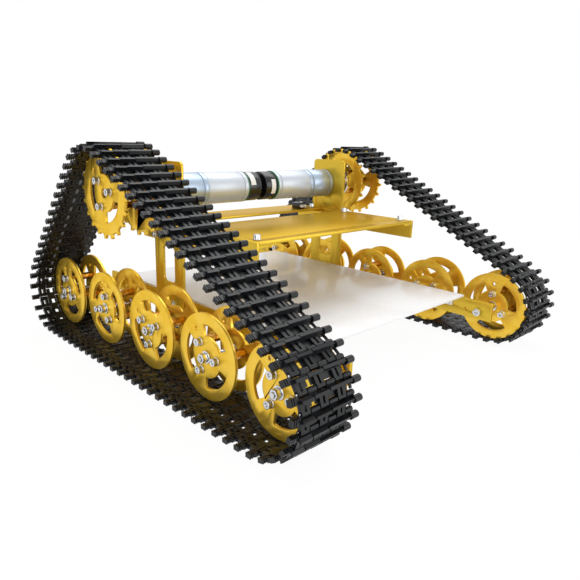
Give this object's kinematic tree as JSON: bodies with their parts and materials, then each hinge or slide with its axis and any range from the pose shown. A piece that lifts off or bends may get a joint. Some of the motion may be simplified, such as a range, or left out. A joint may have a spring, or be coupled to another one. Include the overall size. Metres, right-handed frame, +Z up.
{
  "type": "tracked tank chassis",
  "caption": "Tracked robot chassis: triangular link tracks around rows of spoked double-disc road wheels, toothed drive wheels on cross-mounted gear motors, and a bolted plate frame.",
  "frame": {"origin": "on the ground, under the middle of the wheelbase, in the middle plane", "axes": "+X forward (the drive wheels sit towards the rear), +Y to the left side, +Z up"},
  "size_m": [0.4556, 0.4442, 0.2228],
  "materials": {
    "gold_aluminium": "gold anodised, satin",
    "brass": "machined brass",
    "bright_steel": "bright plated steel",
    "black_plastic": "black moulded plastic",
    "cream_plate": "glossy cream coating",
    "gearbox_steel": "satin steel",
    "motor_steel": "bright zinc-plated steel",
    "green_board": "green circuit board"
  },
  "bodies": {
    "chassis": {"base_plate": "cream_plate", "side_rails": "gold_aluminium", "left_side_plate": "gold_aluminium", "right_side_plate": "gold_aluminium", "deck_arms": "gold_aluminium", "front_deck": "gold_aluminium", "rear_tie_plate": "gold_aluminium", "left_gearbox": "gearbox_steel", "right_gearbox": "gearbox_steel", "left_motor_can": "motor_steel", "right_motor_can": "motor_steel", "encoder_boards": "green_board", "encoder_covers": "black_plastic", "lead_plugs": "black_plastic", "axle_bolts": "bright_steel", "axle_spacers": "gold_aluminium", "frame_fasteners": "bright_steel", "left_track_links": "black_plastic", "right_track_links": "black_plastic", "track_pins": "bright_steel"},
    "left_drive": {"left_drive_discs": "gold_aluminium", "left_drive_pillars": "brass", "left_drive_screws": "bright_steel", "left_drive_hub": "bright_steel", "left_drive_shaft": "bright_steel"},
    "right_drive": {"right_drive_discs": "gold_aluminium", "right_drive_pillars": "brass", "right_drive_screws": "bright_steel", "right_drive_hub": "bright_steel", "right_drive_shaft": "bright_steel"},
    "left_wheel_1": {"left_wheel_1_discs": "gold_aluminium", "left_wheel_1_pillars": "brass", "left_wheel_1_fittings": "bright_steel"},
    "left_wheel_2": {"left_wheel_2_discs": "gold_aluminium", "left_wheel_2_pillars": "brass", "left_wheel_2_fittings": "bright_steel"},
    "left_wheel_3": {"left_wheel_3_discs": "gold_aluminium", "left_wheel_3_pillars": "brass", "left_wheel_3_fittings": "bright_steel"},
    "left_wheel_4": {"left_wheel_4_discs": "gold_aluminium", "left_wheel_4_pillars": "brass", "left_wheel_4_fittings": "bright_steel"},
    "left_wheel_5": {"left_wheel_5_discs": "gold_aluminium", "left_wheel_5_pillars": "brass", "left_wheel_5_fittings": "bright_steel"},
    "right_wheel_1": {"right_wheel_1_discs": "gold_aluminium", "right_wheel_1_pillars": "brass", "right_wheel_1_fittings": "bright_steel"},
    "right_wheel_2": {"right_wheel_2_discs": "gold_aluminium", "right_wheel_2_pillars": "brass", "right_wheel_2_fittings": "bright_steel"},
    "right_wheel_3": {"right_wheel_3_discs": "gold_aluminium", "right_wheel_3_pillars": "brass", "right_wheel_3_fittings": "bright_steel"},
    "right_wheel_4": {"right_wheel_4_discs": "gold_aluminium", "right_wheel_4_pillars": "brass", "right_wheel_4_fittings": "bright_steel"},
    "right_wheel_5": {"right_wheel_5_discs": "gold_aluminium", "right_wheel_5_pillars": "brass", "right_wheel_5_fittings": "bright_steel"}
  },
  "joints": [
    {"name": "left_drive_spin", "type": "hinge", "parent": "chassis", "child": "left_drive", "pos_m": [-0.065, 0.177, 0.1732], "axis": [0, 1, 0], "continuous": true, "deforming": ["left_track_links", "track_pins"]},
    {"name": "right_drive_spin", "type": "hinge", "parent": "chassis", "child": "right_drive", "pos_m": [-0.065, -0.177, 0.1732], "axis": [0, 1, 0], "continuous": true, "deforming": ["right_track_links"]},
    {"name": "left_wheel_1_spin", "type": "hinge", "parent": "chassis", "child": "left_wheel_1", "pos_m": [-0.18, 0.173, 0.0482], "axis": [0, 1, 0], "continuous": true},
    {"name": "left_wheel_2_spin", "type": "hinge", "parent": "chassis", "child": "left_wheel_2", "pos_m": [-0.09, 0.173, 0.0482], "axis": [0, 1, 0], "continuous": true},
    {"name": "left_wheel_3_spin", "type": "hinge", "parent": "chassis", "child": "left_wheel_3", "pos_m": [0, 0.173, 0.0482], "axis": [0, 1, 0], "continuous": true},
    {"name": "left_wheel_4_spin", "type": "hinge", "parent": "chassis", "child": "left_wheel_4", "pos_m": [0.09, 0.173, 0.0482], "axis": [0, 1, 0], "continuous": true},
    {"name": "left_wheel_5_spin", "type": "hinge", "parent": "chassis", "child": "left_wheel_5", "pos_m": [0.18, 0.173, 0.0482], "axis": [0, 1, 0], "continuous": true},
    {"name": "right_wheel_1_spin", "type": "hinge", "parent": "chassis", "child": "right_wheel_1", "pos_m": [-0.18, -0.173, 0.0482], "axis": [0, 1, 0], "continuous": true},
    {"name": "right_wheel_2_spin", "type": "hinge", "parent": "chassis", "child": "right_wheel_2", "pos_m": [-0.09, -0.173, 0.0482], "axis": [0, 1, 0], "continuous": true},
    {"name": "right_wheel_3_spin", "type": "hinge", "parent": "chassis", "child": "right_wheel_3", "pos_m": [0, -0.173, 0.0482], "axis": [0, 1, 0], "continuous": true},
    {"name": "right_wheel_4_spin", "type": "hinge", "parent": "chassis", "child": "right_wheel_4", "pos_m": [0.09, -0.173, 0.0482], "axis": [0, 1, 0], "continuous": true},
    {"name": "right_wheel_5_spin", "type": "hinge", "parent": "chassis", "child": "right_wheel_5", "pos_m": [0.18, -0.173, 0.0482], "axis": [0, 1, 0], "continuous": true}
  ],
  "couplings": [
    {"joint": "left_wheel_1_spin", "follows": "left_drive_spin", "ratio": 1.0466},
    {"joint": "left_wheel_2_spin", "follows": "left_drive_spin", "ratio": 1.1191},
    {"joint": "left_wheel_3_spin", "follows": "left_drive_spin", "ratio": 1.1191},
    {"joint": "left_wheel_4_spin", "follows": "left_drive_spin", "ratio": 1.1191},
    {"joint": "left_wheel_5_spin", "follows": "left_drive_spin", "ratio": 1.0466},
    {"joint": "right_wheel_1_spin", "follows": "right_drive_spin", "ratio": 1.0466},
    {"joint": "right_wheel_2_spin", "follows": "right_drive_spin", "ratio": 1.1191},
    {"joint": "right_wheel_3_spin", "follows": "right_drive_spin", "ratio": 1.1191},
    {"joint": "right_wheel_4_spin", "follows": "right_drive_spin", "ratio": 1.1191},
    {"joint": "right_wheel_5_spin", "follows": "right_drive_spin", "ratio": 1.0466}
  ]
}
